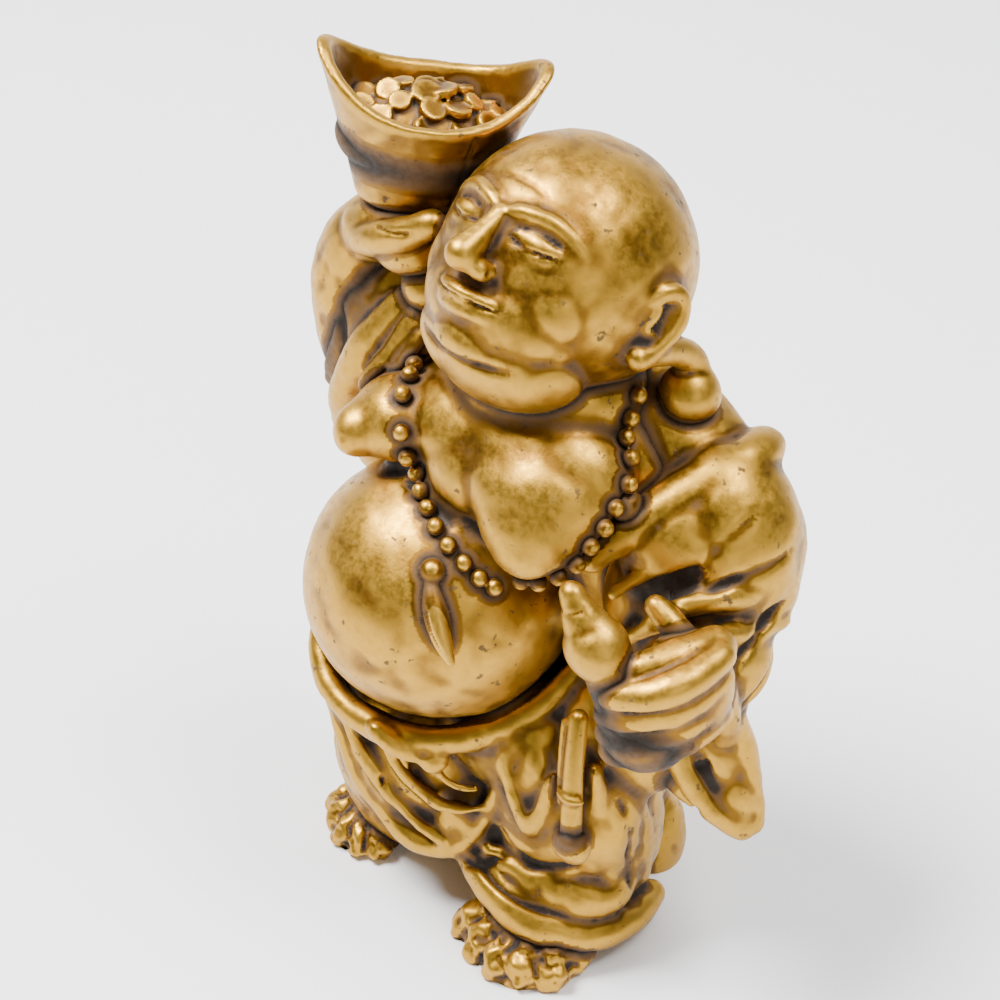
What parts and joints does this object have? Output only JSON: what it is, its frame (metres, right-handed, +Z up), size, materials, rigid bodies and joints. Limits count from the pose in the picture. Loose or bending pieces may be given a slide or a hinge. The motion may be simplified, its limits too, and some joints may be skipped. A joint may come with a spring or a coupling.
{
  "type": "laughing monk figurine",
  "caption": "Small standing figurine of a laughing round-bellied monk holding a boat-shaped ingot overhead and a gourd at the waist.",
  "frame": {"origin": "on the standing surface, in the flat bottom of the skirt", "axes": "+Z up, the figure faces -Y, and its own left hand is on +X"},
  "size_m": [0.0861, 0.0533, 0.1308],
  "materials": {
    "skin_gold": "metallic gold paint with a dark brown wash",
    "robe_gold": "metallic gold paint with a dark brown wash",
    "held_gold": "metallic gold paint with a dark brown wash",
    "bead_gold": "metallic gold paint, worn bright on top"
  },
  "bodies": {
    "root": {"torso": "skin_gold", "head": "skin_gold", "ear_left": "skin_gold", "ear_right": "skin_gold", "necklace_beads": "bead_gold", "necklace_pendant": "bead_gold", "side_bead": "bead_gold", "gourd": "held_gold", "gourd_stem": "held_gold", "left_hand": "skin_gold", "ingot": "held_gold", "ingot_coins": "held_gold", "right_hand": "skin_gold", "right_forearm": "skin_gold", "left_foot": "skin_gold", "right_foot": "skin_gold", "waist_roll": "robe_gold", "waist_knot": "robe_gold", "sash_strip": "robe_gold", "sash_tassel": "robe_gold", "left_sleeve": "robe_gold", "left_sleeve_drop": "robe_gold", "collar_roll": "robe_gold", "right_sleeve": "robe_gold", "right_leg_drape": "robe_gold", "left_leg_drape": "robe_gold", "hem_band": "robe_gold", "centre_drape": "robe_gold", "skirt": "robe_gold", "back_hem": "robe_gold", "robe_back": "robe_gold"}
  },
  "joints": []
}
